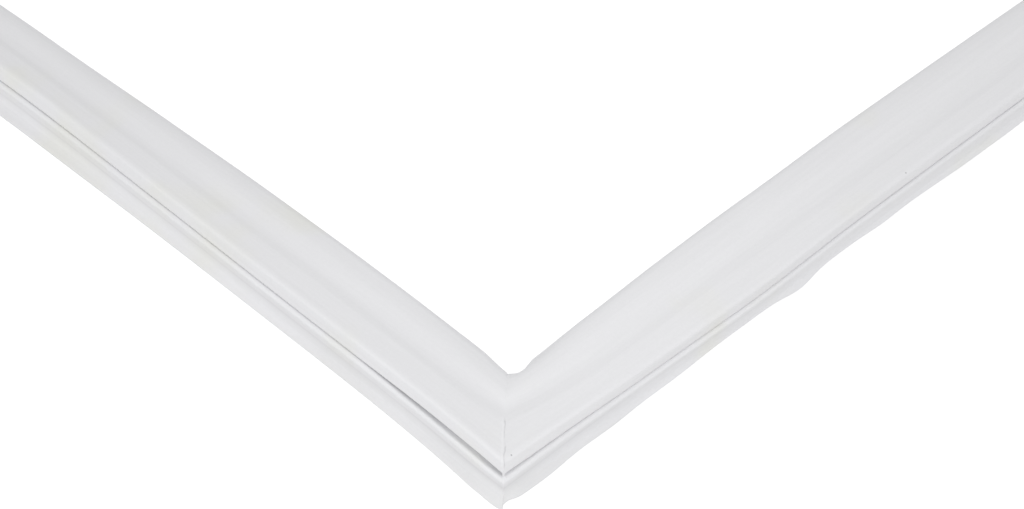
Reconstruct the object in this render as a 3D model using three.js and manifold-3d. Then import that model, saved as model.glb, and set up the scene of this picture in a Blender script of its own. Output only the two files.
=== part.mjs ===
// Magnetic door gasket of a refrigerator, lying with its sealing face up.
//
// The seal is a hollow profile of soft white PVC, cut at 45 degrees and welded into a closed
// frame, with a flexible magnet strip in the pocket of each side. X runs across the door, Y up
// the door and Z away from it, towards the cabinet. Sizes are in millimetres.
//
// The section of the profile is drawn with x outwards from the middle of the dart and y up from
// the face that lies on the door. Carried round the door, a point of the section runs on a
// rectangle that stands out by x on every side.

import * as THREE from "three";
import { mergeVertices } from "three/addons/utils/BufferGeometryUtils.js";
import Module from "manifold-3d";

const wasm = await Module();
wasm.setup();

// Frame, between the middles of the darts
const spanX = 500;
const spanY = 740;

// Base, which lies on the door
const baseThickness = 1.6;
const baseInward = 8.6;
const baseOutward = 8.4;

// Dart, which is pushed into the door's groove
const dartDepth = 7.2;
const dartNeck = 2.4;
const dartTip = 1.6;
const barbReach = 3.1;
const barbDepth = 3.0;
const barbPitch = 2.5;
const barbUndercut = 0.5;
const barbRise = 2.0;

// Magnet strips and the pocket that holds them
const stripWidth = 9.8;
const stripThickness = 3.0;
const stripClearance = 0.3;
const stripToCorner = 9.0;
const pocketWall = 0.6;
const pocketOutward = 11.0;
const pocketEdgeRadius = 1.2;
const pocketHeelRadius = 0.5;
const pocketFlare = 0.35;
const pocketRamp = 2.2;
const pocketStep = 0.25;
const sealHeight = 15.0;

// Balloon, the soft air chamber on the food side of the pocket
const skin = 0.5;
const balloonWidth = 14.75;
const crownInset = 7.6;
const valleyInset = 2.2;
const valleyDrop = 0.5;
const shoulderInset = 1.9;
const shoulderDrop = 0.9;
const edgeDrop = 3.4;
const bellyInset = 1.9;
const bellyHeight = 6.2;

// Bellows under the pocket: a hinged web inside and one fold on the outer flank
const webThickness = 0.6;
const webFoot = 0.4;
const webBend = 2.4;
const foldInset = 2.2;
const foldGap = 0.4;
const foldRadius = 0.85;
const foldReach = 1.6;
const waistReach = 1.3;
const waistDrop = 3.95;

// Skirt lip, which closes on the door's outer skin
const lipReach = 3.65;
const lipHeight = 2.0;
const lipSag = 0.3;
const lipRootThickness = 0.7;
const lipEdgeThickness = 0.45;

// Breather holes, pierced from the door side near each corner
const ventDiameter = 2.4;
const ventSides = 12;
const balloonVentInset = 6.0;

// Steps on one curved stretch of the section
const curveSteps = 6;

const gasketColour = 0xe6e6e8;
const magnetColour = 0x3b332d;

// Places on the section that follow from the sizes above
const slotWidth = stripWidth + 2 * stripClearance;
const slotHeight = stripThickness + 2 * stripClearance;
const pocketInward = pocketOutward - slotWidth - 2 * pocketWall;
const pocketMiddle = pocketOutward - pocketWall - slotWidth / 2;
const pocketFloor = sealHeight - slotHeight - 2 * pocketWall;
const slotMiddle = pocketFloor + pocketWall + slotHeight / 2;
const balloonInward = pocketInward - balloonWidth;
const foldTop = pocketFloor - foldGap - skin / 2;
const foldBottom = foldTop - 2 * foldRadius;
const waistX = pocketOutward + waistReach;
const waistY = foldBottom - waistDrop;

// Outline of a wall drawn along its middle line, of one thickness or tapering to a second
function wallOutline(middle, thickness, endThickness = thickness) {
  const last = middle.length - 1;
  const left = [];
  const right = [];
  middle.forEach((point, i) => {
    const before = middle[Math.max(i - 1, 0)];
    const after = middle[Math.min(i + 1, last)];
    const here = i === 0 ? after.clone().sub(point) : point.clone().sub(before);
    const next = i === last ? here.clone() : after.clone().sub(point);
    const normal = new THREE.Vector2(-here.y, here.x).normalize();
    const nextNormal = new THREE.Vector2(-next.y, next.x).normalize();
    const bisector = normal.clone().add(nextNormal).normalize();
    const half = THREE.MathUtils.lerp(thickness, endThickness, i / last) / 2;
    const reach = half / bisector.dot(normal);
    left.push(point.clone().addScaledVector(bisector, reach));
    right.unshift(point.clone().addScaledVector(bisector, -reach));
  });
  return [...left, ...right];
}

// Solid from a closed triangle geometry
function solid(geometry) {
  const bare = geometry.clone();
  bare.deleteAttribute("normal");
  bare.deleteAttribute("uv");
  const merged = mergeVertices(bare);
  return new wasm.Manifold(
    new wasm.Mesh({
      numProp: 3,
      vertProperties: new Float32Array(merged.attributes.position.array),
      triVerts: new Uint32Array(merged.index.array),
    }),
  );
}

// Ring that carries an outline of the section round the door, with mitred corners
function ring(points) {
  const outline = THREE.ShapeUtils.isClockWise(points) ? points.slice().reverse() : points;
  const count = outline.length;
  const corners = [
    [-1, -1],
    [1, -1],
    [1, 1],
    [-1, 1],
  ];
  const positions = corners.flatMap(([signX, signY]) =>
    outline.flatMap((p) => [signX * (spanX / 2 + p.x), signY * (spanY / 2 + p.x), p.y]),
  );
  const triangles = [];
  for (let side = 0; side < corners.length; side++) {
    const start = side * count;
    const end = ((side + 1) % corners.length) * count;
    for (let i = 0; i < count; i++) {
      const j = (i + 1) % count;
      triangles.push(start + i, end + i, start + j, start + j, end + i, end + j);
    }
  }
  const geometry = new THREE.BufferGeometry();
  geometry.setAttribute("position", new THREE.Float32BufferAttribute(positions, 3));
  geometry.setIndex(triangles);
  return solid(geometry);
}

// Base strip with the two-barbed dart under it
function baseOutline() {
  const halfNeck = dartNeck / 2;
  const side = [];
  for (const depth of [barbDepth, barbDepth + barbPitch]) {
    const below = Math.min(depth + barbRise, dartDepth);
    side.push(
      new THREE.Vector2(halfNeck, -depth + barbUndercut),
      new THREE.Vector2(barbReach, -depth),
      new THREE.Vector2(depth === barbDepth ? halfNeck : dartTip / 2, -below),
    );
  }
  const outer = [new THREE.Vector2(baseOutward, 0), new THREE.Vector2(halfNeck, 0), ...side];
  const inner = outer.map((p) => new THREE.Vector2(-p.x, p.y)).reverse();
  inner[inner.length - 1].x = -baseInward;
  return [
    new THREE.Vector2(baseOutward, baseThickness),
    ...outer,
    ...inner,
    new THREE.Vector2(-baseInward, baseThickness),
  ];
}

// Magnet pocket: flat sealing face, rounded outer edge, flared wall and a ramp to the balloon
function pocketOutline() {
  const edge = pocketEdgeRadius;
  const heel = pocketHeelRadius;
  const foot = pocketOutward + pocketFlare;
  const shape = new THREE.Shape();
  shape.moveTo(pocketInward, pocketFloor);
  shape.lineTo(foot - heel, pocketFloor);
  shape.quadraticCurveTo(foot, pocketFloor, foot, pocketFloor + heel);
  shape.lineTo(pocketOutward, sealHeight - edge);
  shape.quadraticCurveTo(pocketOutward, sealHeight, pocketOutward - edge, sealHeight);
  shape.lineTo(pocketInward + pocketRamp, sealHeight);
  shape.lineTo(pocketInward, sealHeight - pocketStep);
  return shape.getPoints(curveSteps);
}

// Slot in the pocket, where the strip lies
function slotOutline() {
  const [x, y] = [slotWidth / 2, slotHeight / 2];
  const corners = [
    [-x, -y],
    [x, -y],
    [x, y],
    [-x, y],
  ];
  return corners.map(([dx, dy]) => new THREE.Vector2(pocketMiddle + dx, slotMiddle + dy));
}

// Balloon skin, from the pocket over the crown and round the inner edge down to the base
function balloonOutline() {
  const through = [
    new THREE.Vector2(pocketInward + pocketWall / 2, sealHeight - pocketStep - skin / 2),
    new THREE.Vector2(pocketInward - valleyInset, sealHeight - valleyDrop - skin / 2),
    new THREE.Vector2(pocketInward - crownInset, sealHeight - skin / 2),
    new THREE.Vector2(balloonInward + shoulderInset, sealHeight - shoulderDrop),
    new THREE.Vector2(balloonInward + skin / 2, sealHeight - edgeDrop),
    new THREE.Vector2(balloonInward + bellyInset, bellyHeight),
    new THREE.Vector2(-baseInward + skin / 2, baseThickness / 2),
  ];
  const curve = new THREE.SplineCurve(through);
  return wallOutline(curve.getPoints(curveSteps * (through.length - 1)), skin);
}

// Web between the balloon and the bellows, bent so that it folds when the door shuts
function webOutline() {
  const top = new THREE.Vector2(pocketInward + pocketWall / 2, pocketFloor + pocketWall / 2);
  const foot = new THREE.Vector2(webFoot, baseThickness / 2);
  const bend = new THREE.Vector2(Math.min(top.x, foot.x) - webBend, (top.y + foot.y) / 2);
  const curve = new THREE.QuadraticBezierCurve(top, bend, foot);
  return wallOutline(curve.getPoints(curveSteps), webThickness);
}

// Outer flank: up under the pocket, out round the fold, back to the waist and down to the base
function flankOutline() {
  const foldEnd = pocketOutward + foldReach - skin / 2 - foldRadius;
  const foldMiddle = foldTop - foldRadius;
  const line = new THREE.Path();
  line.moveTo(pocketOutward - foldInset, pocketFloor + pocketWall / 2);
  line.lineTo(pocketOutward - foldInset, foldTop);
  line.lineTo(foldEnd, foldTop);
  line.absarc(foldEnd, foldMiddle, foldRadius, Math.PI / 2, -Math.PI / 2, true);
  line.lineTo(waistX - skin, waistY);
  line.lineTo(baseOutward - skin / 2, baseThickness / 2);
  const points = line.getPoints(curveSteps / 2);
  return wallOutline(points.filter((p, i) => !i || p.distanceTo(points[i - 1]) > skin / 10), skin);
}

// Skirt lip, which flares from the waist of the flank down to its thin free edge
function lipOutline() {
  const root = new THREE.Vector2(waistX - skin, waistY);
  const edge = new THREE.Vector2(pocketOutward + lipReach, lipHeight + lipEdgeThickness / 2);
  const sag = root.clone().lerp(edge, 0.5);
  sag.y -= lipSag;
  const curve = new THREE.QuadraticBezierCurve(root, sag, edge);
  return wallOutline(curve.getPoints(curveSteps), lipRootThickness, lipEdgeThickness);
}

// Breather holes of one corner: one into the balloon, and one through the bellows into the pocket
function ventSolids(signX, signY) {
  const alongX = spanX / 2 + pocketInward + pocketWall - stripToCorner / 2;
  const intoPocket = pocketFloor + pocketWall + slotHeight / 2;
  const holes = [
    [pocketMiddle, intoPocket],
    [pocketInward - balloonVentInset, baseThickness + skin],
  ];
  return holes.map(([x, top]) => {
    const bottom = -baseThickness;
    const drill = new THREE.CylinderGeometry(
      ventDiameter / 2,
      ventDiameter / 2,
      top - bottom,
      ventSides,
    );
    drill.rotateX(Math.PI / 2);
    drill.translate(signX * alongX, signY * (spanY / 2 + x), (top + bottom) / 2);
    return solid(drill);
  });
}

// Geometry of a solid, lifted so that the dart's tip is at zero height
function geometryOf(body) {
  const mesh = body.getMesh();
  const geometry = new THREE.BufferGeometry();
  geometry.setAttribute("position", new THREE.BufferAttribute(mesh.vertProperties, 3));
  geometry.setIndex(new THREE.BufferAttribute(mesh.triVerts, 1));
  geometry.translate(0, 0, dartDepth);
  geometry.computeVertexNormals();
  return geometry;
}

// Welded frame of the profile, with its three chambers open through the breather holes
function gasketFrame() {
  const walls = [pocketOutline(), balloonOutline(), webOutline(), flankOutline(), lipOutline()];
  let body = ring(baseOutline());
  for (const outline of walls) {
    body = body.add(ring(outline));
  }
  body = body.subtract(ring(slotOutline()));
  for (const [signX, signY] of [[-1, -1], [1, -1], [1, 1], [-1, 1]]) {
    for (const hole of ventSolids(signX, signY)) {
      body = body.subtract(hole);
    }
  }
  const material = new THREE.MeshStandardMaterial({
    color: gasketColour,
    roughness: 0.55,
    metalness: 0,
  });
  const mesh = new THREE.Mesh(geometryOf(body), material);
  mesh.name = "gasket_frame";
  return mesh;
}

// Magnet strip of one side, cut short of the corners
function magnetStrip(name, length, turn, x, y) {
  const material = new THREE.MeshStandardMaterial({
    color: magnetColour,
    roughness: 0.7,
    metalness: 0,
  });
  const strip = new THREE.BoxGeometry(length, stripWidth, stripThickness);
  const mesh = new THREE.Mesh(strip, material);
  mesh.name = name;
  mesh.rotation.z = turn;
  mesh.position.set(x, y, dartDepth + slotMiddle);
  return mesh;
}

const stripEnd = pocketInward + pocketWall - stripToCorner;
const lengthX = spanX + 2 * stripEnd;
const lengthY = spanY + 2 * stripEnd;
const middleX = spanX / 2 + pocketMiddle;
const middleY = spanY / 2 + pocketMiddle;

const gasket = new THREE.Group();
gasket.add(
  gasketFrame(),
  magnetStrip("magnet_strip_bottom", lengthX, 0, 0, -middleY),
  magnetStrip("magnet_strip_top", lengthX, 0, 0, middleY),
  magnetStrip("magnet_strip_left", lengthY, Math.PI / 2, -middleX, 0),
  magnetStrip("magnet_strip_right", lengthY, Math.PI / 2, middleX, 0),
);

export default gasket;
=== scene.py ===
import math

import bmesh
import bpy
import numpy as np
from mathutils import Matrix, Vector


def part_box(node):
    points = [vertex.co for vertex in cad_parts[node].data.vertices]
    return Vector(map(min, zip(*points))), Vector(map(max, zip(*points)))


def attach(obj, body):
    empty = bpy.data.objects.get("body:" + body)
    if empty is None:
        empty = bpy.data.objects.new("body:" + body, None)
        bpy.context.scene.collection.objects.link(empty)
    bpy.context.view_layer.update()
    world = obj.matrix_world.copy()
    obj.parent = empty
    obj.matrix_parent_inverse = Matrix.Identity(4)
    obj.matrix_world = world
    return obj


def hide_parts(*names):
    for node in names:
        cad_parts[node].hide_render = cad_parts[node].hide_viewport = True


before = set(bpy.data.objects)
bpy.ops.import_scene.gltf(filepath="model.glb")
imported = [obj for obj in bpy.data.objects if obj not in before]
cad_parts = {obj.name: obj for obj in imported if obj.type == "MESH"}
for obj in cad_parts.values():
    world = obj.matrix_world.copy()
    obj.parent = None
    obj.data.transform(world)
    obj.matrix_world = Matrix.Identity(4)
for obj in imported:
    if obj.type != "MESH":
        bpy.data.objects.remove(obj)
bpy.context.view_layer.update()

# Refrigerator door gasket in soft white PVC, lying with its sealing face up.
# Working sizes are in millimetres and become metres when a mesh is made.
# A section point is (x, y): x outwards from the middle of the dart, y up from the base.

mm = 0.001

# Sizes of the section, the same as in the CAD model
profile = {
    "sealHeight": 15.0,
    "skin": 0.5,
    "baseThickness": 1.6,
    "baseSide": 0.7,            # share of the base's thickness at which the skins leave its sides
    "baseInward": 8.6,
    "baseOutward": 8.4,
    "dartNeck": 2.4,
    "dartTip": 1.6,
    "barbReach": 3.1,
    "barbDepth": 3.0,
    "barbPitch": 2.5,
    "barbUndercut": 0.5,
    "barbTipRise": 0.12,
    "barbTipDrop": 0.1,
    "barbTipInset": 0.15,
    "pocketOutward": 11.0,
    "pocketWall": 0.6,
    "slotClearance": 0.3,
    "pocketEdgeRadius": 1.2,
    "pocketHeelRadius": 0.5,
    "pocketFlare": 0.35,        # how far the outer wall of the pocket leans out at its heel
    "rimHeight": 0.08,          # slight rim along the outer edge of the pocket
    "rimInset": 0.5,
    "rimWidth": 0.8,
    "rampWidth": 4.4,           # from the valley up to the flat of the pocket
    "rampInset": 2.2,           # how far the valley lies inside the pocket's inner wall
    "valleyDrop": 0.5,
    "crownRise": 0.3,
    "balloonWidth": 14.75,
    "crownInset": 7.6,
    "shoulderInset": 1.9,
    "shoulderDrop": 0.9,
    "edgeDrop": 3.4,
    "bellyInset": 1.9,
    "bellyHeight": 6.2,
    "webThickness": 0.6,
    "webFoot": 0.4,
    "webBend": 2.4,
    "foldInset": 2.2,
    "foldGap": 0.4,
    "foldRadius": 0.85,
    "foldReach": 1.6,
    "grooveRound": 0.2,         # how far the back of the groove is rounded
    "waistReach": 1.3,
    "waistDrop": 3.95,
    "lipReach": 3.65,
    "lipHeight": 2.0,
    "lipSag": 0.3,
    "lipRootThickness": 0.7,
    "lipEdgeThickness": 0.45,
}
balloonSteps = 9        # points on one span of the balloon's line


def smoothStep(value, low, high):
    # 0 below low, 1 above high, and 3t^2 - 2t^3 between
    t = np.clip((value - low) / (high - low), 0.0, 1.0)
    return t * t * (3.0 - 2.0 * t)


def bell(value, centre, width):
    # e to the power of minus the square of the distance from the centre over the width
    return np.exp(-(((value - centre) / width) ** 2))


def throughKnots(value, knots):
    # smooth curve through (distance, value) pairs: a cubic between each two. Its slope at a knot is
    # the harmonic mean of the slopes on both sides, and it is level at a peak, so nothing overshoots
    at, height = np.array(knots, float).T
    rise = np.diff(height) / np.diff(at)
    before, after = rise[:-1], rise[1:]
    slope = np.zeros(len(at))
    slope[1:-1] = np.where(before * after > 0, 2 * before * after / (before + after + 1e-12), 0.0)
    value = np.clip(value, at[0], at[-1])
    i = np.clip(np.searchsorted(at, value, side="right") - 1, 0, len(at) - 2)
    step = at[i + 1] - at[i]
    t = (value - at[i]) / step
    return (
        height[i] * (1 + 2 * t) * (1 - t) ** 2
        + height[i + 1] * t * t * (3 - 2 * t)
        + slope[i] * step * t * (1 - t) ** 2
        - slope[i + 1] * step * t * t * (1 - t)
    )


def straight(start, end, count):
    # evenly spaced points from the start up to, and without, the end
    t = np.arange(count)[:, None] / count
    return np.array(start) * (1 - t) + np.array(end) * t


def roundCorner(start, corner, end, count):
    # quadratic curve from the start towards the corner and on to the end, without the end
    t = np.arange(count)[:, None] / count
    return (1 - t) ** 2 * np.array(start) + 2 * t * (1 - t) * np.array(corner) + t * t * np.array(end)


def splineThrough(points, perSpan):
    # Catmull-Rom curve: each span is the cubic set by its two points and the ones beside them
    points = np.array(points, float)
    padded = np.vstack([points[:1], points, points[-1:]])
    t = np.linspace(0, 1, perSpan, endpoint=False)[:, None]
    before, start, end, after = [padded[i:len(padded) - 3 + i, None] for i in range(4)]
    spans = 0.5 * (
        2 * start
        + (end - before) * t
        + (2 * before - 5 * start + 4 * end - after) * t**2
        + (3 * start - before - 3 * end + after) * t**3
    )
    return np.vstack([spans.reshape(-1, 2), points[-1:]])


def beside(line, distance):
    # the line moved sideways to its left, along the mean normal of the two sides of each point
    step = np.gradient(line, axis=0)
    normal = np.stack([-step[:, 1], step[:, 0]], 1)
    normal /= np.linalg.norm(normal, axis=1, keepdims=True)
    distance = np.broadcast_to(distance, len(line))
    return line + normal * distance[:, None]


def placesOf(size):
    # places on the section that follow from its sizes
    slotWidth = stripWidth + 2 * size["slotClearance"]
    slotHeight = stripThickness + 2 * size["slotClearance"]
    pocketInward = size["pocketOutward"] - slotWidth - 2 * size["pocketWall"]
    pocketFloor = size["sealHeight"] - slotHeight - 2 * size["pocketWall"]
    foldTop = pocketFloor - size["foldGap"] - size["skin"] / 2
    foldBottom = foldTop - 2 * size["foldRadius"]
    return {
        "slotWidth": slotWidth,
        "slotHeight": slotHeight,
        "slotMiddle": pocketFloor + size["pocketWall"] + slotHeight / 2,
        "pocketInward": pocketInward,
        "pocketMiddle": size["pocketOutward"] - size["pocketWall"] - slotWidth / 2,
        "pocketFloor": pocketFloor,
        "balloonInward": pocketInward - size["balloonWidth"],
        "valley": pocketInward - size["rampInset"],
        "foldTop": foldTop,
        "foldBottom": foldBottom,
        "foldRoot": size["pocketOutward"] - size["foldInset"],
        "foldEnd": size["pocketOutward"] + size["foldReach"] - size["skin"] / 2 - size["foldRadius"],
        "waistX": size["pocketOutward"] + size["waistReach"],
        "waistY": foldBottom - size["waistDrop"],
    }


def balloonLine(size, spot):
    # middle of the balloon's skin, from the base up round the inner edge and over to the valley,
    # and on along the ramp to the flat of the pocket
    half = size["skin"] / 2
    top = size["sealHeight"] - half
    line = splineThrough(
        [
            (-size["baseInward"] + half, size["baseThickness"] * size["baseSide"]),
            (spot["balloonInward"] + size["bellyInset"], size["bellyHeight"]),
            (spot["balloonInward"] + half, size["sealHeight"] - size["edgeDrop"]),
            (spot["balloonInward"] + size["shoulderInset"], size["sealHeight"] - size["shoulderDrop"]),
            (spot["pocketInward"] - size["crownInset"], top + size["crownRise"]),
            (spot["valley"], top - size["valleyDrop"]),
            (spot["valley"] + size["rampWidth"], top),
            (spot["valley"] + size["rampWidth"] * 2, top),
        ],
        balloonSteps,
    )
    onPocket = line[:, 0] > spot["valley"]
    line[:, 1] = np.where(onPocket, np.minimum(line[:, 1], top), line[:, 1])
    return line[:-balloonSteps]


def lipLine(size, spot):
    # middle of the lip, from the waist out to its free edge
    root = np.array([spot["waistX"] - size["skin"] / 2, spot["waistY"] - size["lipRootThickness"] / 2])
    edgeHeight = size["lipHeight"] + size["lipEdgeThickness"] / 2
    edge = np.array([size["pocketOutward"] + size["lipReach"], edgeHeight])
    sag = (root + edge) / 2 - [0, size["lipSag"]]
    return np.vstack([roundCorner(root, sag, edge, 12), edge])


def dartOutline(size, side):
    # half of the dart, from the base down to its tip; side is 1 outwards and -1 inwards
    neck, reach = size["dartNeck"] / 2, size["barbReach"]
    points = [(neck, 0.0)]
    for row in (0, 1):
        barb = size["barbDepth"] + row * size["barbPitch"]
        points += [
            (neck, -barb + size["barbUndercut"]),
            (reach, -barb + size["barbTipRise"]),
            (reach - size["barbTipInset"], -barb - size["barbTipDrop"]),
        ]
    points += [(size["dartTip"] / 2, -dartDepth)]
    return np.array(points) * [side, 1]


def outerOutline(size, spot):
    # the whole skin as seen from outside, anticlockwise from the base's inner foot
    top, floor, out = size["sealHeight"], spot["pocketFloor"], size["pocketOutward"]
    balloon = beside(balloonLine(size, spot)[::-1], -size["skin"] / 2)
    edge, heel = size["pocketEdgeRadius"], size["pocketHeelRadius"]
    foot = out + size["pocketFlare"]
    baseSide = size["baseThickness"] * size["baseSide"]
    flat = straight((out - edge, top), balloon[0], 12)
    flat[:, 1] += size["rimHeight"] * bell(flat[:, 0], out - edge - size["rimInset"], size["rimWidth"])
    half = size["skin"] / 2
    lip = lipLine(size, spot)
    thickness = np.linspace(size["lipRootThickness"], size["lipEdgeThickness"], len(lip)) / 2
    lipUnder, lipTop = beside(lip, -thickness), beside(lip, thickness)
    angle = np.linspace(-60, 90, 9)[:, None] * math.pi / 180
    tipRadius = size["foldRadius"] + half
    foldTip = np.array([spot["foldEnd"], spot["foldTop"] - size["foldRadius"]])
    foldArc = foldTip + tipRadius * np.hstack([np.cos(angle), np.sin(angle)])
    grooveFloor, grooveBack = spot["foldTop"] + half, spot["foldRoot"] + half
    grooveStart = grooveBack + size["grooveRound"]
    return np.vstack([
        straight((-size["baseInward"], 0), (-size["dartNeck"] / 2, 0), 5),
        dartOutline(size, -1),
        dartOutline(size, 1)[::-1],
        straight((size["dartNeck"] / 2 + 1, 0), (size["baseOutward"], 0), 4),
        straight((size["baseOutward"], 0), (size["baseOutward"], baseSide), 2),
        straight((size["baseOutward"], baseSide), lipUnder[0] - [half, half], 5),
        lipUnder,
        lipTop[::-1][:-4],
        roundCorner(lipTop[3], (spot["waistX"] - 0.2, spot["waistY"] - 0.1), foldArc[0], 9),
        foldArc,
        straight((spot["foldEnd"] - 0.3, grooveFloor), (grooveStart, grooveFloor), 6),
        roundCorner(
            (grooveStart, grooveFloor),
            (grooveBack, (grooveFloor + floor) / 2),
            (grooveStart, floor),
            4,
        ),
        straight((grooveStart, floor), (foot - heel, floor), 5),
        roundCorner((foot - heel, floor), (foot, floor), (foot - 0.05, floor + heel), 4),
        straight((foot - 0.05, floor + heel), (out, top - edge), 5),
        roundCorner((out, top - edge), (out - 0.1, top), (out - edge, top), 8),
        flat,
        balloon,
    ])


def chamberOutlines(size, spot):
    # inner faces of the balloon, the bellows and the magnet slot
    half = size["skin"] / 2
    base, floor = size["baseThickness"], spot["pocketFloor"]
    webTop = np.array([spot["pocketInward"] + size["pocketWall"] / 2, floor])
    webFoot = np.array([size["webFoot"], base])
    bend = np.array([min(webTop[0], webFoot[0]) - size["webBend"], (webTop[1] + webFoot[1]) / 2])
    web = np.vstack([roundCorner(webFoot, bend, webTop, 6), webTop])
    inward, outward = beside(web, size["webThickness"] / 2), beside(web, -size["webThickness"] / 2)
    skinInside = beside(balloonLine(size, spot)[:-balloonSteps:3], -half)
    balloon = np.vstack([
        straight((-size["baseInward"] + 0.9, base), inward[0], 4),
        inward,
        (spot["pocketInward"], skinInside[-1][1] + 0.1),
        skinInside[::-1][:-1],
    ])
    foot = (size["baseOutward"] - size["skin"] - 0.1, base)
    waist = (spot["waistX"] - size["skin"] * 2, spot["waistY"])
    bellows = np.vstack([
        straight(outward[0], foot, 4),
        straight(foot, waist, 4),
        straight(waist, (spot["foldEnd"], spot["foldBottom"] + half), 2),
        (spot["foldEnd"] + 0.2, (spot["foldTop"] + spot["foldBottom"]) / 2),
        (spot["foldEnd"], spot["foldTop"] - half),
        (spot["foldRoot"] - half, spot["foldTop"] - half),
        (spot["foldRoot"] - half, floor),
        straight((spot["foldRoot"] - half, floor), outward[-1], 4)[1:],
        outward[::-1][:-1],
    ])
    corners = np.array([(-1, -1), (1, -1), (1, 1), (-1, 1)]) / 2
    slot = corners * [spot["slotWidth"], spot["slotHeight"]] + [spot["pocketMiddle"], spot["slotMiddle"]]
    return [balloon, bellows, slot]


# How the soft arms lie on the bench. Each list holds (mm from the arm's near corner, value):
# roll turns the section outwards, in degrees; bow shifts it outwards, in mm; swell widens the
# balloon by that share; valleyShift moves the valley outwards; lipReach moves the lip's edge;
# foldDrop lowers the fold, waistSink the waist, and heelLift raises the pocket's heel. waves are
# (mm from the corner, width, mm outwards) of the lip, and dents are (mm from the corner, x, y,
# length, radius, mm outwards, mm up). A value that is still stays 0
still = [(0, 0), (1, 0)]
arms = {
    "bottom": {
        "roll": [
            (0, 0), (12, 2.3), (30, 7.8), (60, 12.4), (100, 12.4), (150, 9.2), (210, 7.7),
            (280, 5.1), (500, 0),
        ],
        "bow": [
            (0, 0), (12, -0.7), (30, -2.1), (60, -2.9), (100, -2.7), (150, -3.35), (210, -3.8),
            (280, -4), (500, 0),
        ],
        "swell": [
            (0, -0.06), (12, -0.135), (30, -0.11), (60, -0.015), (100, 0.083), (150, 0.11),
            (280, 0.115), (500, 0),
        ],
        "valleyShift": [
            (0, -0.8), (12, 1.2), (30, 2.7), (60, 1.8), (100, 0.9), (150, 2.2), (210, 2.6),
            (280, 2.1), (500, 0),
        ],
        "lipReach": [
            (0, 0.3), (12, 0.4), (30, 0), (60, -0.7), (100, -1.5), (150, -1.5), (210, -0.9),
            (280, -0.8), (500, 0),
        ],
        "foldDrop": [(0, 0.2), (30, -0.1), (60, -0.2), (500, 0)],
        "waistSink": [(0, -0.3), (12, 0.45), (30, 0.7), (100, 0.55), (210, 0.4), (280, 0.1), (500, 0)],
        "heelLift": [(0, 0.3), (12, 0), (500, 0)],
        "waves": [
            (1.5, 3.5, -1.2), (20, 8, 0.3), (46, 10, 0.5), (72, 14, 0.45), (126, 8, 1.5),
            (165, 9, 0.5), (205, 16, 0.4), (228, 14, 0.4),
        ],
        "dents": [
            (4.2, -14.6, 12.5, 3, 3.2, 2, -0.2),
            (10.5, -14.8, 13.2, 5, 2.3, -0.6, -1.3),
            (98, -7, 14.6, 6, 4, 0, -0.3),
            (125, -14.4, 14.2, 55, 2.6, 0, 0.35),
        ],
    },
    "right": {
        "roll": [(0, 0), (150, 5), (330, -3), (520, 6), (740, 0)],
        "bow": [(0, 0), (150, -1.5), (330, 1.5), (520, -2), (740, 0)],
        "swell": [(0, 0), (200, 0.08), (500, 0.03), (740, 0)],
        "valleyShift": [(0, 0), (40, 0.8), (700, 0.8), (740, 0)],
        "lipReach": [(0, 0), (120, -0.6), (330, 0.4), (560, -0.5), (740, 0)],
        "foldDrop": still,
        "waistSink": still,
        "heelLift": still,
        "waves": [(95, 12, 0.5), (300, 20, 0.6), (480, 9, -0.4)],
        "dents": [],
    },
    "top": {
        "roll": [(0, 0), (120, -4), (260, 5), (390, 3), (500, 0)],
        "bow": [(0, 0), (120, 1.5), (260, -1.5), (390, -1), (500, 0)],
        "swell": [(0, 0), (180, 0.05), (360, 0.08), (500, 0)],
        "valleyShift": [(0, 0), (40, 0.8), (460, 0.8), (500, 0)],
        "lipReach": [(0, 0), (90, 0.4), (250, -0.6), (500, 0)],
        "foldDrop": still,
        "waistSink": still,
        "heelLift": still,
        "waves": [(160, 15, 0.5), (330, 11, -0.4)],
        "dents": [],
    },
    "left": {
        "roll": [
            (0, 0), (12, -3.5), (30, -3.2), (60, -3.1), (100, -4.4), (150, -6), (210, -10.2),
            (280, -12.9), (740, 0),
        ],
        "bow": [
            (0, 0), (12, 0.85), (30, 0.55), (60, 0.95), (100, 2.1), (150, 3.4), (210, 5.9),
            (280, 9.5), (740, 0),
        ],
        "swell": [
            (0, -0.06), (12, 0.045), (30, 0.014), (100, 0.01), (150, -0.075), (210, -0.16),
            (280, -0.12), (740, 0),
        ],
        "valleyShift": [
            (0, -0.8), (12, 0.4), (30, 1.2), (60, 1.2), (100, 1.6), (150, 2.1), (210, 2.6),
            (280, 2.3), (740, 0),
        ],
        "lipReach": [
            (0, 0.3), (12, 1.6), (30, 0.7), (60, 0.3), (100, 0.4), (150, 0.65), (210, 1.4),
            (280, 1.2), (740, 0),
        ],
        "foldDrop": [(0, 0.2), (8, 0.65), (35, 0.2), (60, -0.22), (210, -0.28), (740, 0)],
        "waistSink": [
            (0, -0.3), (12, 0.4), (30, 0.4), (60, 0), (100, -0.1), (150, -0.5), (280, -0.3),
            (740, 0),
        ],
        "heelLift": [(0, 0.3), (8, 0.55), (35, 0.35), (70, 0), (740, 0)],
        "waves": [(3, 4, 0.9), (16, 8, -0.5), (95, 40, -0.25)],
        "dents": [
            (5, -13.5, 14.6, 1.3, 1.5, 0, -0.25),
            (58, -13.4, 14.2, 42, 2.6, 0, 0.4),
        ],
    },
}

# How the arms meet: weldReach is how far from a mitre the weld bridges the groove, hold is how far
# the two arms pull each other along, and farFade is where an arm's own lie ends before its far mitre
mitre = {
    "weldReach": 0.55,
    "hold": 5,
    "farFade": 90,
}


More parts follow.
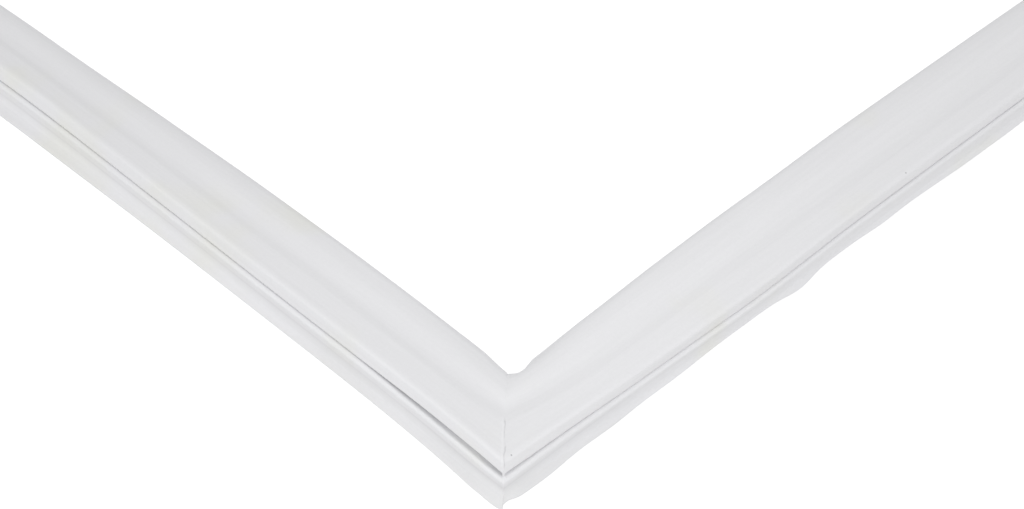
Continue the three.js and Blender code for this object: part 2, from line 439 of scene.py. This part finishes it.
def deformed(x, y, near, far, arm, size, spot):
    # section points x, y of one arm after it has settled, where near and far are the distances
    # along it from its two mitres. Widths, the weld's bridge and dents come first; then the section
    # turns about the root of the dart and shifts outwards. All but the waves and dents fade out
    # towards the far mitre
    fade = smoothStep(far, 0, mitre["farFade"])
    value = {
        name: throughKnots(near, knots) * fade
        for name, knots in arm.items()
        if name not in ("waves", "dents")
    }
    inward = np.maximum(spot["pocketInward"] - x, 0)
    upper = smoothStep(y, size["baseThickness"], size["bellyHeight"] + 3)
    shifted = value["valleyShift"] * bell(x, spot["pocketInward"], 5)
    newX = x - inward * value["swell"] * upper + shifted * upper
    lipEdge = size["pocketOutward"] + size["lipReach"]
    onLip = smoothStep(x, spot["waistX"] - 0.2, lipEdge) * (y < spot["waistY"] + 0.2)
    reach = value["lipReach"]
    for place, width, height in arm["waves"]:
        reach = reach + height * bell(near, place, width)
    newX = newX + reach * onLip
    heel = smoothStep(x, size["pocketOutward"] - 5, size["pocketOutward"] - 1)
    heel = heel * (y > spot["pocketFloor"] - 0.1)
    newY = y + value["heelLift"] * heel * (1 - smoothStep(y, spot["pocketFloor"], size["sealHeight"] - 1))
    flank = smoothStep(x, spot["foldRoot"], spot["foldEnd"]) * (y < spot["pocketFloor"] - 0.1)
    sink = value["foldDrop"] * smoothStep(y, spot["waistY"] - 1.5, spot["foldBottom"])
    newY = newY - flank * (sink + value["waistSink"] * bell(y, spot["waistY"], 1.6))
    inGroove = (x > spot["foldRoot"]) & (y > spot["foldTop"] - 0.1) & (y < spot["pocketFloor"] + 0.1)
    bridge = (near < mitre["weldReach"]) | (far < mitre["weldReach"])
    newX = newX + inGroove * bridge * np.maximum(size["pocketOutward"] + 0.3 - x, 0)
    for place, atX, atY, length, radius, outwards, up in arm["dents"]:
        weight = bell(near, place, length) * bell(np.hypot(x - atX, y - atY), 0, radius)
        newX = newX + outwards * weight
        newY = newY + up * weight
    turn = np.radians(value["roll"])
    outward = newX * np.cos(turn) + newY * np.sin(turn) + value["bow"]
    lift = size["dartTip"] / 2 * np.abs(np.sin(turn))      # keeps the dart's tip off the floor
    return outward, newY * np.cos(turn) - newX * np.sin(turn) + lift


def placed(x, y, along, name, size, spot):
    # places in metres of section points x, y at a distance along the arm from its first dart corner.
    # Near the mitre a point slips along by as much as it moved inwards, so that the arms stay together
    start, direction, length, nearFirst = armPlaces[name]
    begin, end = along + x, length + x - along
    near, far = (begin, end) if nearFirst else (end, begin)
    outward, up = deformed(x, y, near, far, arms[name], size, spot)
    slip = (x - outward) * bell(near, 0, mitre["hold"])
    along = along + slip if nearFirst else along - slip
    dx, dy = direction
    return mm * np.stack([
        start[0] + dx * along + dy * outward,
        start[1] + dy * along - dx * outward,
        dartDepth + up,
    ], -1)


# How far from the near corner the rings of points lie close together, in mm
denseTo = {"bottom": 290, "right": 40, "top": 40, "left": 290}


def stationsOf(length, dense, nearFirst):
    # distances along an arm: close together at the mitres, even up to the end of its dense part, and
    # wider apart from there. For an arm whose near corner comes last, they are the length minus these
    corner = np.array([0, 0.2, 0.4, 0.7, 1, 1.5, 2.2, 3, 4, 5.5, 7, 9, 11.5])
    even = np.arange(14, dense, 2.8)
    coarse = np.arange(even[-1] + 6, length - 40, 14)
    last = length - np.array([30, 18, 11, 7, 4, 2, 1, 0.4])
    stations = np.concatenate([corner, even, coarse, last])
    return stations if nearFirst else np.append(0, (length - stations)[::-1][:-1])


def meshFrom(name, points, faces, uv):
    # mesh of quads with smooth faces, a UV layer and sharp edges where it turns by over 40 degrees
    mesh = bpy.data.meshes.new(name)
    mesh.vertices.add(len(points))
    mesh.vertices.foreach_set("co", points.ravel())
    mesh.loops.add(faces.size)
    mesh.loops.foreach_set("vertex_index", faces.ravel())
    mesh.polygons.add(len(faces))
    mesh.polygons.foreach_set("loop_start", np.arange(0, faces.size, 4))
    mesh.update(calc_edges=True)
    layer = mesh.uv_layers.new(name="surface")
    layer.data.foreach_set("uv", uv.ravel())
    mesh.polygons.foreach_set("use_smooth", np.ones(len(faces), bool))
    mesh.set_sharp_from_angle(angle=math.radians(40))
    mesh.validate()
    piece = bpy.data.objects.new(name, mesh)
    bpy.context.scene.collection.objects.link(piece)
    return piece


def ringSurface(outline, inside, size, spot):
    # an outline carried round the four arms. A station is a share of the distance between the
    # mitres, so a point at x starts x before the dart's corner and ends x behind the next one
    x, y = outline.T
    count = len(outline)
    u = np.append(0, np.cumsum(np.hypot(*(np.roll(outline, -1, 0) - outline).T))) * mm
    rows, uv, before = [], [], 0.0
    for name in armPlaces:
        length, nearFirst = armPlaces[name][2:]
        share = (stationsOf(length, denseTo[name], nearFirst) / length)[:, None]
        along = (length + 2 * x) * share - x
        rows.append(placed(x[None, :], y[None, :], along, name, size, spot))
        v = before + np.vstack([along, np.full((1, count), length) + x]) * mm
        v = np.hstack([v, v[:, :1]])
        grid = np.stack([np.broadcast_to(u, v.shape), v], -1)
        corners = [grid[:-1, :-1], grid[1:, :-1], grid[1:, 1:], grid[:-1, 1:]]
        uv.append(np.stack(corners, 2).reshape(-1, 4, 2))
        before += length * mm
    points = np.concatenate(rows)
    i = np.arange(len(points))[:, None]
    j = np.arange(count)[None, :]
    iNext, jNext = (i + 1) % len(points), (j + 1) % count
    faces = np.stack([i * count + j, iNext * count + j, iNext * count + jNext, i * count + jNext], -1)
    faces = faces.reshape(-1, 4)
    uv = np.concatenate(uv)
    if inside:
        faces, uv = faces[:, ::-1], uv[:, ::-1]
    return points.reshape(-1, 3), faces, uv


def makeGasket(size, spot):
    # outer skin and the walls of the three chambers, as one mesh
    parts = [ringSurface(outerOutline(size, spot), False, size, spot)]
    parts += [ringSurface(outline, True, size, spot) for outline in chamberOutlines(size, spot)]
    points, faces, uv, count = [], [], [], 0
    for partPoints, partFaces, partUv in parts:
        points.append(partPoints)
        faces.append(partFaces + count)
        uv.append(partUv)
        count += len(partPoints)
    return meshFrom("gasket", np.concatenate(points), np.concatenate(faces), np.concatenate(uv))


# Breather holes: inset is measured from the pocket into the balloon, toCorner from the slot's inner
# wall back along the arm, and a drill runs from its bottom up into the balloon or the slot
vent = {
    "diameter": 2.4,
    "inset": 6.0,
    "toCorner": 4.5,
    "bottom": -1.6,
    "balloonTop": 2.6,
}


def pierce(piece, size, spot):
    # breather holes from the door side near each corner, one into the balloon and one through the
    # bellows into the magnet slot, cut as eight cylinders
    drills = bmesh.new()
    alongX = halfX + spot["pocketInward"] + size["pocketWall"] - vent["toCorner"]
    intoSlot = (spot["pocketMiddle"], spot["slotMiddle"])
    intoBalloon = (spot["pocketInward"] - vent["inset"], vent["balloonTop"])
    for signX in (-1, 1):
        for signY in (-1, 1):
            for x, top in (intoSlot, intoBalloon):
                middle = dartDepth + (top + vent["bottom"]) / 2
                place = Vector((signX * alongX, signY * (halfY + x), middle)) * mm
                bmesh.ops.create_cone(
                    drills,
                    cap_ends=True,
                    segments=24,
                    radius1=vent["diameter"] / 2 * mm,
                    radius2=vent["diameter"] / 2 * mm,
                    depth=(top - vent["bottom"]) * mm,
                    matrix=Matrix.Translation(place),
                )
    mesh = bpy.data.meshes.new("drills")
    drills.to_mesh(mesh)
    drills.free()
    cutter = bpy.data.objects.new("drills", mesh)
    bpy.context.scene.collection.objects.link(cutter)
    cut = piece.modifiers.new("vents", "BOOLEAN")
    cut.operation = "DIFFERENCE"
    cut.solver = "MANIFOLD"
    cut.object = cutter
    finished = piece.evaluated_get(bpy.context.evaluated_depsgraph_get())
    piece.data = bpy.data.meshes.new_from_object(finished)
    piece.modifiers.clear()
    bpy.data.objects.remove(cutter)


# Magnet strip: bevel of its long edges in mm, and how many rings of points it has along its length
magnetStrip = {
    "bevel": 0.2,
    "rings": 60,
}


def makeStrip(name, size, spot):
    # flexible magnet in the slot of one arm, cut square at both ends and bent as the arm lies
    middle = armPlaces[name][2] / 2
    low, high = np.array(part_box("magnet_strip_" + name)) / mm
    half = max(high - low) / 2
    along = np.linspace(middle - half, middle + half, magnetStrip["rings"])[:, None]
    side, top = stripWidth / 2, stripThickness / 2
    flatSide, flatTop = side - magnetStrip["bevel"], top - magnetStrip["bevel"]
    outline = np.array([
        (-flatSide, -top), (flatSide, -top), (side, -flatTop), (side, flatTop),
        (flatSide, top), (-flatSide, top), (-side, flatTop), (-side, -flatTop),
    ]) + [spot["pocketMiddle"], spot["slotMiddle"]]
    x, y = outline.T
    points = placed(x[None, :], y[None, :], along, name, size, spot)
    rows, count = points.shape[:2]
    i, j = np.arange(rows - 1)[:, None], np.arange(count)[None, :]
    jNext = (j + 1) % count
    here, ahead = i * count, (i + 1) * count
    sides = np.stack([here + j, ahead + j, ahead + jNext, here + jNext], -1)
    cap = np.array([(0, 1, 2, 7), (7, 2, 3, 6), (6, 3, 4, 5)])     # an end, as three quads
    faces = np.concatenate([sides.reshape(-1, 4), cap, cap[:, ::-1] + (rows - 1) * count])
    across = np.cumsum(np.hypot(*np.diff(outline, axis=0, append=outline[:1]).T)) * mm
    uv = np.stack(np.broadcast_arrays(across[None, :], along * mm), -1).reshape(-1, 2)[faces]
    return meshFrom("strip_" + name, points.reshape(-1, 3), faces, uv)


def linear(hexColour):
    # sRGB hex colour as linear red, green, blue and alpha
    parts = [int(hexColour[i:i + 2], 16) / 255 for i in (1, 3, 5)]
    return [part / 12.92 if part <= 0.04045 else ((part + 0.055) / 1.055) ** 2.4 for part in parts] + [1.0]


def newMaterial(name):
    # material with an empty node tree
    material = bpy.data.materials.new(name)
    material.use_nodes = True
    material.node_tree.nodes.clear()
    return material, material.node_tree


def addNode(tree, kind, settings={}, *values, **named):
    # node with its settings. The sockets it uses take the values in their order, or by name, and a
    # value that is another node is joined by the first output that node uses
    node = tree.nodes.new("ShaderNode" + kind)
    for name, value in settings.items():
        setattr(node, name, value)
    given = list(zip([socket for socket in node.inputs if socket.enabled], values))
    given += [(node.inputs[name.replace("_", " ")], value) for name, value in named.items()]
    for socket, value in given:
        if isinstance(value, bpy.types.Node):
            value = next(end for end in value.outputs if end.enabled)
        if isinstance(value, bpy.types.NodeSocket):
            tree.links.new(value, socket)
        else:
            socket.default_value = value
    return node


# Settings of the nodes that are used most
plus = {"operation": "ADD"}
minus = {"operation": "SUBTRACT"}
times = {"operation": "MULTIPLY"}
larger = {"operation": "MAXIMUM"}
smaller = {"operation": "MINIMUM"}
absolute = {"operation": "ABSOLUTE"}
apart = {"operation": "DISTANCE"}
scaled = {"operation": "SCALE"}
smooth = {"interpolation_type": "SMOOTHSTEP"}
colours = {"data_type": "RGBA"}

# Look of the soft PVC, with sizes in mm. A tone covers the product of its bands, and a band is
# (measure, from, to, share at and before from, share at and after to)
pvc = {
    "colour": "#e8e8ea",
    "warm": "#e7e7e4",
    "warmClouds": (0.52, 0.72),
    "cloudSize": 32,
    "roughness": (0.46, 0.55),
    "streakWidth": 1.1,
    "streakSquash": 0.03,       # width of a streak over its length
    "streakDepth": 0.7,         # of a streak over that of the grain
    "grainSize": 0.9,
    "grainDepth": 0.05,
    "grainTone": 0.018,
    "contrast": (0.3, 0.7),     # noise values at the two ends of a tone
    "grainBump": 0.25,
    "refraction": 1.53,
    "cornerHeight": 10,         # height of the point that fromCorner is measured from
    "creasePastWaist": 2.1,
    "weldWander": 2.6,
    "weldWanderSize": 5,
    "weldBreakSize": 3,
    # how far the weld's painted highlight lies beside its painted shade
    "weldHighlightOffset": 0.9,
    "tones": {
        # partly painted shade: the lip near the corner is drawn greyer, standing in for the shade it gets
        # under the ridge, and partly a tone that varies with the clouds
        "greyer lip, partly painted shade": {
            "colour": "#e3e3e4",
            "strength": 1,
            "bands": [
                ("outward", 11.2, 12.2, 0, 1),
                ("height", 6.2, 7.2, 1, 0),
                ("clouds", 0.35, 0.6, 0.55, 1),
                ("fromCorner", 50, 100, 1, 0.1),
            ],
        },
        # painted shade: the groove of the left arm near the corner is drawn darker, standing in for the
        # shadow deep in the gap under the pocket
        "painted shade in the groove of the left arm": {
            "colour": "#6a6a6e",
            "strength": 0.2,
            "bands": [
                ("height", 7.8, 8.8, 0, 1),
                ("height", 11, 11.2, 1, 0),
                ("outward", 8, 8.4, 0, 1),
                ("outward", 11.1, 12.2, 1, 0),
                ("leftOfMitre", 0, 1, 0, 1),
                ("fromCorner", 30, 60, 1, 0),
            ],
        },
        # painted shade: the dark side of a weld bead that is not modelled
        "painted shade of the weld bead": {
            "colour": "#77777c",
            "strength": 0.22,
            "bands": [
                ("fromWeld", 0.1, 0.4, 1, 0),
                ("outward", -1.2, 0.2, 0, 1),
                ("height", 12.2, 13.2, 0, 1),
                ("weldBreaks", 0.38, 0.55, 0.25, 1),
            ],
        },
        # painted highlight: the lit side of the same bead, beside the dark line
        "painted highlight of the weld bead": {
            "colour": "#f4f4f6",
            "strength": 0.3,
            "bands": [
                ("fromWeldLight", 0.1, 0.6, 1, 0),
                ("outward", -1.2, 0.2, 0, 1),
                ("height", 12.2, 13.2, 0, 1),
            ],
        },
        "shade in the crease above the lip": {
            "colour": "#9c9ca0",
            "strength": 0.075,
            "bands": [("fromCrease", 0.3, 1.8, 1, 0), ("outward", 10, 10.8, 0, 1)],
        },
        # painted shade: the narrow dark core of the shade in the crease above the lip
        "painted shade line at the bottom of the crease": {
            "colour": "#9c9ca0",
            "strength": 0.081,
            "bands": [("fromCrease", 0.1, 0.5, 1, 0), ("outward", 10, 10.8, 0, 1)],
        },
    },
    "speckColour": "#55555a",
    "speckEdge": (0.1, 0.35),
    "speckRagged": 0.5,
    "speckStrength": 0.5,
    "specks": [
        (-257.4, -380.2, 22.1),
        (-88.4, -378.7, 20.6),
        (-71.7, -378.8, 15.3),
        (-186.2, -380.2, 14.5),
    ],
}


def pvcMaterial():
    # Plasticised PVC leaves the die smooth and a little waxy: a satin white with wide soft highlights.
    # The eye sees a cool white that turns warm in clouds, fine lines along the arms and a few specks.
    # Painted on top are shade and a highlight along each mitre for a weld bead that is not modelled,
    # shade in the groove of the left arm near the corner and in the crease above the lip, and a greyer
    # lip that is partly painted shade. The tree measures in mm. The real grain is under a tenth of a
    # millimetre, too fine to show, so it is drawn about ten times as coarse
    material, tree = newMaterial("soft pvc")
    place = addNode(tree, "VectorMath", scaled, addNode(tree, "TexCoord").outputs["Object"], 1 / mm)
    surface = addNode(tree, "VectorMath", scaled, addNode(tree, "UVMap", {"uv_map": "surface"}), 1 / mm)
    xyz = addNode(tree, "SeparateXYZ", {}, place).outputs
    outX = addNode(tree, "Math", minus, addNode(tree, "Math", absolute, xyz[0]), halfX)
    outY = addNode(tree, "Math", minus, addNode(tree, "Math", absolute, xyz[1]), halfY)
    leftOfMitre = addNode(tree, "Math", minus, outX, outY)

    # the weld wanders by noise to both sides of the mitre; painted shade follows it as a dark line, and a
    # painted highlight lies beside it, for a weld bead that is not modelled
    wander = addNode(tree, "TexNoise", {}, Vector=place, Scale=1 / pvc["weldWanderSize"], Detail=2)
    wander = addNode(tree, "Math", times, addNode(tree, "Math", minus, wander, 0.5), pvc["weldWander"])
    weld = addNode(tree, "Math", plus, leftOfMitre, wander)
    weldHighlight = addNode(tree, "Math", minus, weld, pvc["weldHighlightOffset"])
    # distance along the skin from the crease above the lip, where shade is painted
    crease = addNode(tree, "Math", minus, addNode(tree, "SeparateXYZ", {}, surface), creaseAt)

    clouds = addNode(tree, "TexNoise", {}, Vector=place, Scale=1 / pvc["cloudSize"], Detail=2)
    measures = {
        "outward": addNode(tree, "Math", larger, outX, outY),
        "height": addNode(tree, "Math", minus, xyz[2], dartDepth),
        "leftOfMitre": leftOfMitre,
        "fromCorner": addNode(tree, "VectorMath", apart, place, (-halfX, -halfY, pvc["cornerHeight"])),
        "clouds": clouds,
        "fromWeld": addNode(tree, "Math", absolute, weld),
        "fromWeldLight": addNode(tree, "Math", absolute, weldHighlight),
        "weldBreaks": addNode(tree, "TexNoise", {}, Vector=place, Scale=1 / pvc["weldBreakSize"], Detail=1),
        "fromCrease": addNode(tree, "Math", absolute, crease),
    }
    warmth = addNode(tree, "MapRange", smooth, clouds, *pvc["warmClouds"])
    colour = addNode(tree, "Mix", colours, warmth, linear(pvc["colour"]), linear(pvc["warm"]))
    for tone in pvc["tones"].values():
        share = tone["strength"]
        for measure, *edges in tone["bands"]:
            band = addNode(tree, "MapRange", smooth, measures[measure], *edges)
            share = addNode(tree, "Math", times, share, band)
        colour = addNode(tree, "Mix", colours, share, colour, linear(tone["colour"]))

    # streaks run along the arms, as the die leaves them; with the grain they vary the tone a little
    squashed = addNode(tree, "VectorMath", times, surface, (1, pvc["streakSquash"], 1))
    streaks = addNode(tree, "TexNoise", {}, Vector=squashed, Scale=1 / pvc["streakWidth"], Detail=2)
    grain = addNode(
        tree, "TexNoise", {}, Vector=place, Scale=1 / pvc["grainSize"], Detail=3, Roughness=0.6,
    )
    streakTone = addNode(tree, "MapRange", smooth, streaks, *pvc["contrast"], -0.5, 0.5)
    grainTone = addNode(tree, "MapRange", smooth, grain, *pvc["contrast"], -0.5, 0.5)
    tone = addNode(tree, "Math", plus, streakTone, grainTone)
    tone = addNode(tree, "Math", plus, addNode(tree, "Math", times, tone, pvc["grainTone"]), 1)
    colour = addNode(tree, "VectorMath", scaled, colour, tone)

    # each speck is a small dark spot with a ragged edge
    ragged = addNode(tree, "Math", times, addNode(tree, "Math", minus, grain, 0.5), pvc["speckRagged"])
    for speck in pvc["specks"]:
        away = addNode(tree, "Math", plus, addNode(tree, "VectorMath", apart, place, speck), ragged)
        share = addNode(tree, "MapRange", smooth, away, *pvc["speckEdge"], pvc["speckStrength"], 0)
        colour = addNode(tree, "Mix", colours, share, colour, linear(pvc["speckColour"]))

    depth = addNode(tree, "Math", plus, addNode(tree, "Math", times, streaks, pvc["streakDepth"]), grain)
    bump = addNode(
        tree, "Bump", {}, Height=depth, Strength=pvc["grainBump"], Distance=pvc["grainDepth"] * mm,
    )
    roughness = addNode(tree, "MapRange", smooth, clouds, *pvc["contrast"], *pvc["roughness"])
    shader = addNode(
        tree, "BsdfPrincipled", {}, Base_Color=colour, Roughness=roughness, IOR=pvc["refraction"],
        Normal=bump,
    )
    addNode(tree, "OutputMaterial", {}, shader)
    return material


# Look of the magnet strips, with sizes in mm
ferrite = {
    "colour": "#342d28",
    "grain": "#463d36",
    "rub": "#54504c",
    "grainSize": 0.4,
    "grainShare": (0.35, 0.7),
    "grainDepth": 0.05,
    "grainBump": 0.4,
    "rubSize": 12,
    "rubShare": (0.55, 0.75),
    "rubStrength": 0.5,
    "roughness": (0.6, 0.78),
    "contrast": (0.3, 0.7),
    "refraction": 1.55,
}


def magnetMaterial():
    # Rubber filled with ferrite powder is dull and nearly black. The eye sees a brown grey with a
    # fine sandy grain, drawn coarser than the real powder, and paler patches where the strip rubbed
    # against the slot
    material, tree = newMaterial("ferrite rubber")
    place = addNode(tree, "VectorMath", scaled, addNode(tree, "TexCoord").outputs["Object"], 1 / mm)
    grain = addNode(
        tree, "TexNoise", {}, Vector=place, Scale=1 / ferrite["grainSize"], Detail=3, Roughness=0.7,
    )
    rub = addNode(tree, "TexNoise", {}, Vector=place, Scale=1 / ferrite["rubSize"], Detail=3)
    share = addNode(tree, "MapRange", smooth, grain, *ferrite["grainShare"])
    colour = addNode(tree, "Mix", colours, share, linear(ferrite["colour"]), linear(ferrite["grain"]))
    share = addNode(tree, "MapRange", smooth, rub, *ferrite["rubShare"], 0, ferrite["rubStrength"])
    colour = addNode(tree, "Mix", colours, share, colour, linear(ferrite["rub"]))
    bump = addNode(
        tree, "Bump", {}, Height=grain, Strength=ferrite["grainBump"], Distance=ferrite["grainDepth"] * mm,
    )
    roughness = addNode(tree, "MapRange", smooth, rub, *ferrite["contrast"], *ferrite["roughness"])
    shader = addNode(
        tree, "BsdfPrincipled", {}, Base_Color=colour, Roughness=roughness, IOR=ferrite["refraction"],
        Normal=bump,
    )
    addNode(tree, "OutputMaterial", {}, shader)
    return material


def seenDirectly(tree):
    # 1 for rays from the camera and for those that a glossy or clear surface sends on
    path = addNode(tree, "LightPath").outputs
    sent = addNode(tree, "Math", plus, path["Is Glossy Ray"], path["Is Transmission Ray"])
    seen = addNode(tree, "Math", plus, path["Is Camera Ray"], sent)
    return addNode(tree, "Math", smaller, seen, 1)


# The boxes of the seal and its strips give the sizes that the door and the magnets fix
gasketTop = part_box("gasket_frame")[1][2] / mm
bottomLow, bottomHigh = [np.array(corner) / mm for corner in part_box("magnet_strip_bottom")]
leftLow, leftHigh = [np.array(corner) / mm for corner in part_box("magnet_strip_left")]
stripWidth = bottomHigh[1] - bottomLow[1]
stripThickness = bottomHigh[2] - bottomLow[2]
dartDepth = gasketTop - profile["sealHeight"]
places = placesOf(profile)
halfX = -(leftLow[0] + leftHigh[0]) / 2 - places["pocketMiddle"]
halfY = -(bottomLow[1] + bottomHigh[1]) / 2 - places["pocketMiddle"]

# start corner, direction, length and whether the near corner comes first
armPlaces = {
    "bottom": ((-halfX, -halfY), (1, 0), 2 * halfX, True),
    "right": ((halfX, -halfY), (0, 1), 2 * halfY, True),
    "top": ((halfX, halfY), (-1, 0), 2 * halfX, True),
    "left": ((-halfX, halfY), (0, -1), 2 * halfY, False),
}

# The crease above the lip, as a distance along the skin's outline, a little past the waist
skinLine = outerOutline(profile, places)
atWaist = np.argmin(np.hypot(*(skinLine - [places["waistX"], places["waistY"] + 0.3]).T))
creaseAt = np.hypot(*np.diff(skinLine[:atWaist + 1], axis=0).T).sum() + pvc["creasePastWaist"]

gasket = makeGasket(profile, places)
pierce(gasket, profile, places)
gasket.data.materials.clear()
gasket.data.materials.append(pvcMaterial())
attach(gasket, "root")
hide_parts("gasket_frame")
print("gasket", len(gasket.data.polygons), "faces")

ferriteRubber = magnetMaterial()
for name in armPlaces:
    strip = makeStrip(name, profile, places)
    strip.data.materials.append(ferriteRubber)
    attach(strip, "root")
    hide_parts("magnet_strip_" + name)
print("strips", len(armPlaces))

# Floor that looks white to the camera and keeps a faint shadow, with its reach in metres
ground = {
    "reach": 3,
    "colour": "#e8e8e8",
    "seenColour": "#989898",
    "seenGlow": 0.9,
}
reach = ground["reach"]
floorMesh = bpy.data.meshes.new("floor")
floorMesh.from_pydata(
    [(-reach, -reach, 0), (reach, -reach, 0), (reach, reach, 0), (-reach, reach, 0)], [], [(0, 1, 2, 3)],
)
floor = bpy.data.objects.new("floor", floorMesh)
bpy.context.scene.collection.objects.link(floor)
floorMaterial, tree = newMaterial("white floor")
plain = addNode(tree, "BsdfDiffuse", {}, linear(ground["colour"]))
seen = addNode(tree, "BsdfDiffuse", {}, linear(ground["seenColour"]))
glow = addNode(tree, "Emission", {}, (1, 1, 1, 1), ground["seenGlow"])
glowing = addNode(tree, "AddShader", {}, seen, glow)
addNode(tree, "OutputMaterial", {}, addNode(tree, "MixShader", {}, seenDirectly(tree), plain, glowing))
floorMesh.materials.append(floorMaterial)
print("floor")

# Light from all round, and how bright it looks to the camera
studio = {
    "light": 0.715,
    "seen": 1.0,
}
world = bpy.data.worlds.new("studio")
world.use_nodes = True
world.node_tree.nodes.clear()
tree = world.node_tree
strength = addNode(tree, "Mix", {}, seenDirectly(tree), studio["light"], studio["seen"])
background = addNode(tree, "Background", {}, Color=(1, 1, 1, 1), Strength=strength)
addNode(tree, "OutputWorld", {}, background)
bpy.context.scene.world = world

# Square lamps, in metres and watts: a wide one far behind the camera, a faint one above the corner
lamps = {
    "key": {"place": (-1.5, -1.5, 0.9), "aim": (-0.2, -0.3, 0), "width": 0.8, "watts": 10.6},
    "top": {"place": (-0.29, -0.4, 0.32), "aim": (-0.27, -0.38, 0), "width": 0.2, "watts": 0.12},
}


def softLamp(name, place, aim, width, watts):
    # area lamp at a place, turned to its aim
    light = bpy.data.lights.new(name, "AREA")
    light.shape = "SQUARE"
    light.size = width
    light.energy = watts
    lamp = bpy.data.objects.new(name, light)
    turn = (Vector(aim) - Vector(place)).to_track_quat("-Z", "Y")
    lamp.matrix_world = Matrix.Translation(place) @ turn.to_matrix().to_4x4()
    bpy.context.scene.collection.objects.link(lamp)


for name, lamp in lamps.items():
    softLamp(name, **lamp)
print("lamps", len(lamps))

# Camera on the side of the bottom and left arms, with its place in metres, its lens in mm and its
# turns in degrees: turn from the X axis, pitch down and roll about its own line of sight
view = {
    "place": (-0.57537, -0.71368, 0.54832),
    "lens": 89.14,
    "turn": 46.38,
    "pitch": 44.27,
    "roll": 0.34,
    "nearest": 0.01,
}
lens = bpy.data.cameras.new("camera")
lens.lens = view["lens"]
lens.clip_start = view["nearest"]
camera = bpy.data.objects.new("camera", lens)
turn, pitch, roll = [math.radians(view[name]) for name in ("turn", "pitch", "roll")]
forward = Vector((math.cos(turn) * math.cos(pitch), math.sin(turn) * math.cos(pitch), -math.sin(pitch)))
side = Vector((math.sin(turn), -math.cos(turn), 0))
upward = side.cross(forward)
tilted = side * math.cos(roll) + upward * math.sin(roll)
raised = upward * math.cos(roll) - side * math.sin(roll)
axes = Matrix((tilted, raised, -forward)).transposed()
camera.matrix_world = Matrix.Translation(view["place"]) @ axes.to_4x4()
bpy.context.scene.collection.objects.link(camera)
bpy.context.scene.camera = camera
bpy.context.scene.view_settings.view_transform = "Standard"
print("camera")
